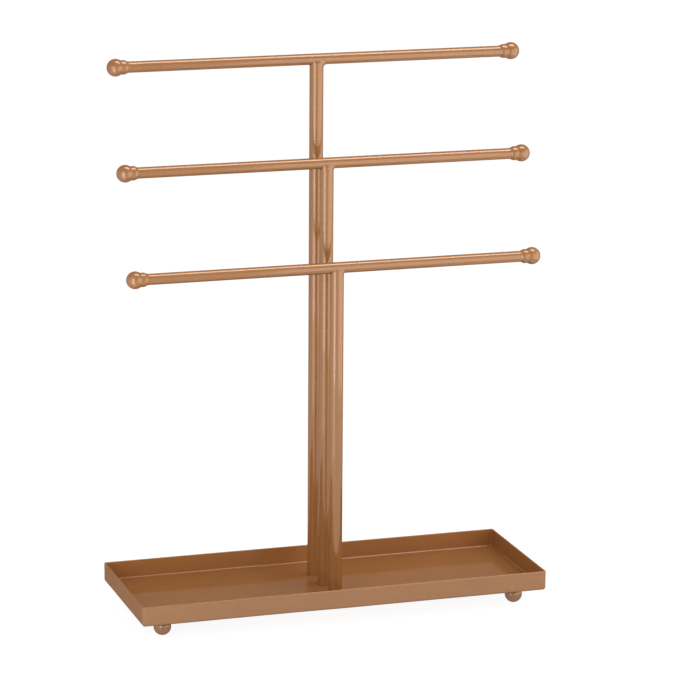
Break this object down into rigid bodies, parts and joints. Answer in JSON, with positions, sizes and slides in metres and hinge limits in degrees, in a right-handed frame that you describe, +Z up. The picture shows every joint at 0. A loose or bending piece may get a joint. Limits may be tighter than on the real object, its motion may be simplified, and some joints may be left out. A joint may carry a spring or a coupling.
{
  "type": "jewellery stand with tray",
  "caption": "Tiered jewellery stand: straight bars with ball ends on round posts, each tier lower than the one behind, standing in a shallow rectangular tray on ball feet.",
  "frame": {"origin": "on the table, under the middle of the tray", "axes": "+X to the right along the bars, +Y to the rear, where the tallest post stands, +Z up"},
  "size_m": [0.3084, 0.1142, 0.4047],
  "materials": {
    "copper_lacquer": "satin metallic copper lacquer on steel",
    "zinc_steel": "bright zinc plate"
  },
  "bodies": {
    "root": {"tray": "copper_lacquer", "front_left_foot": "copper_lacquer", "rear_left_foot": "copper_lacquer", "front_right_foot": "copper_lacquer", "rear_right_foot": "copper_lacquer", "rear_post": "copper_lacquer", "top_bar": "copper_lacquer", "top_bar_left_ball": "copper_lacquer", "top_bar_right_ball": "copper_lacquer", "middle_post": "copper_lacquer", "middle_bar": "copper_lacquer", "middle_bar_left_ball": "copper_lacquer", "middle_bar_right_ball": "copper_lacquer", "front_post": "copper_lacquer", "low_bar": "copper_lacquer", "low_bar_left_ball": "copper_lacquer", "low_bar_right_ball": "copper_lacquer", "rear_post_plug": "zinc_steel", "middle_post_plug": "zinc_steel", "front_post_plug": "zinc_steel", "post_screws": "zinc_steel"}
  },
  "joints": []
}
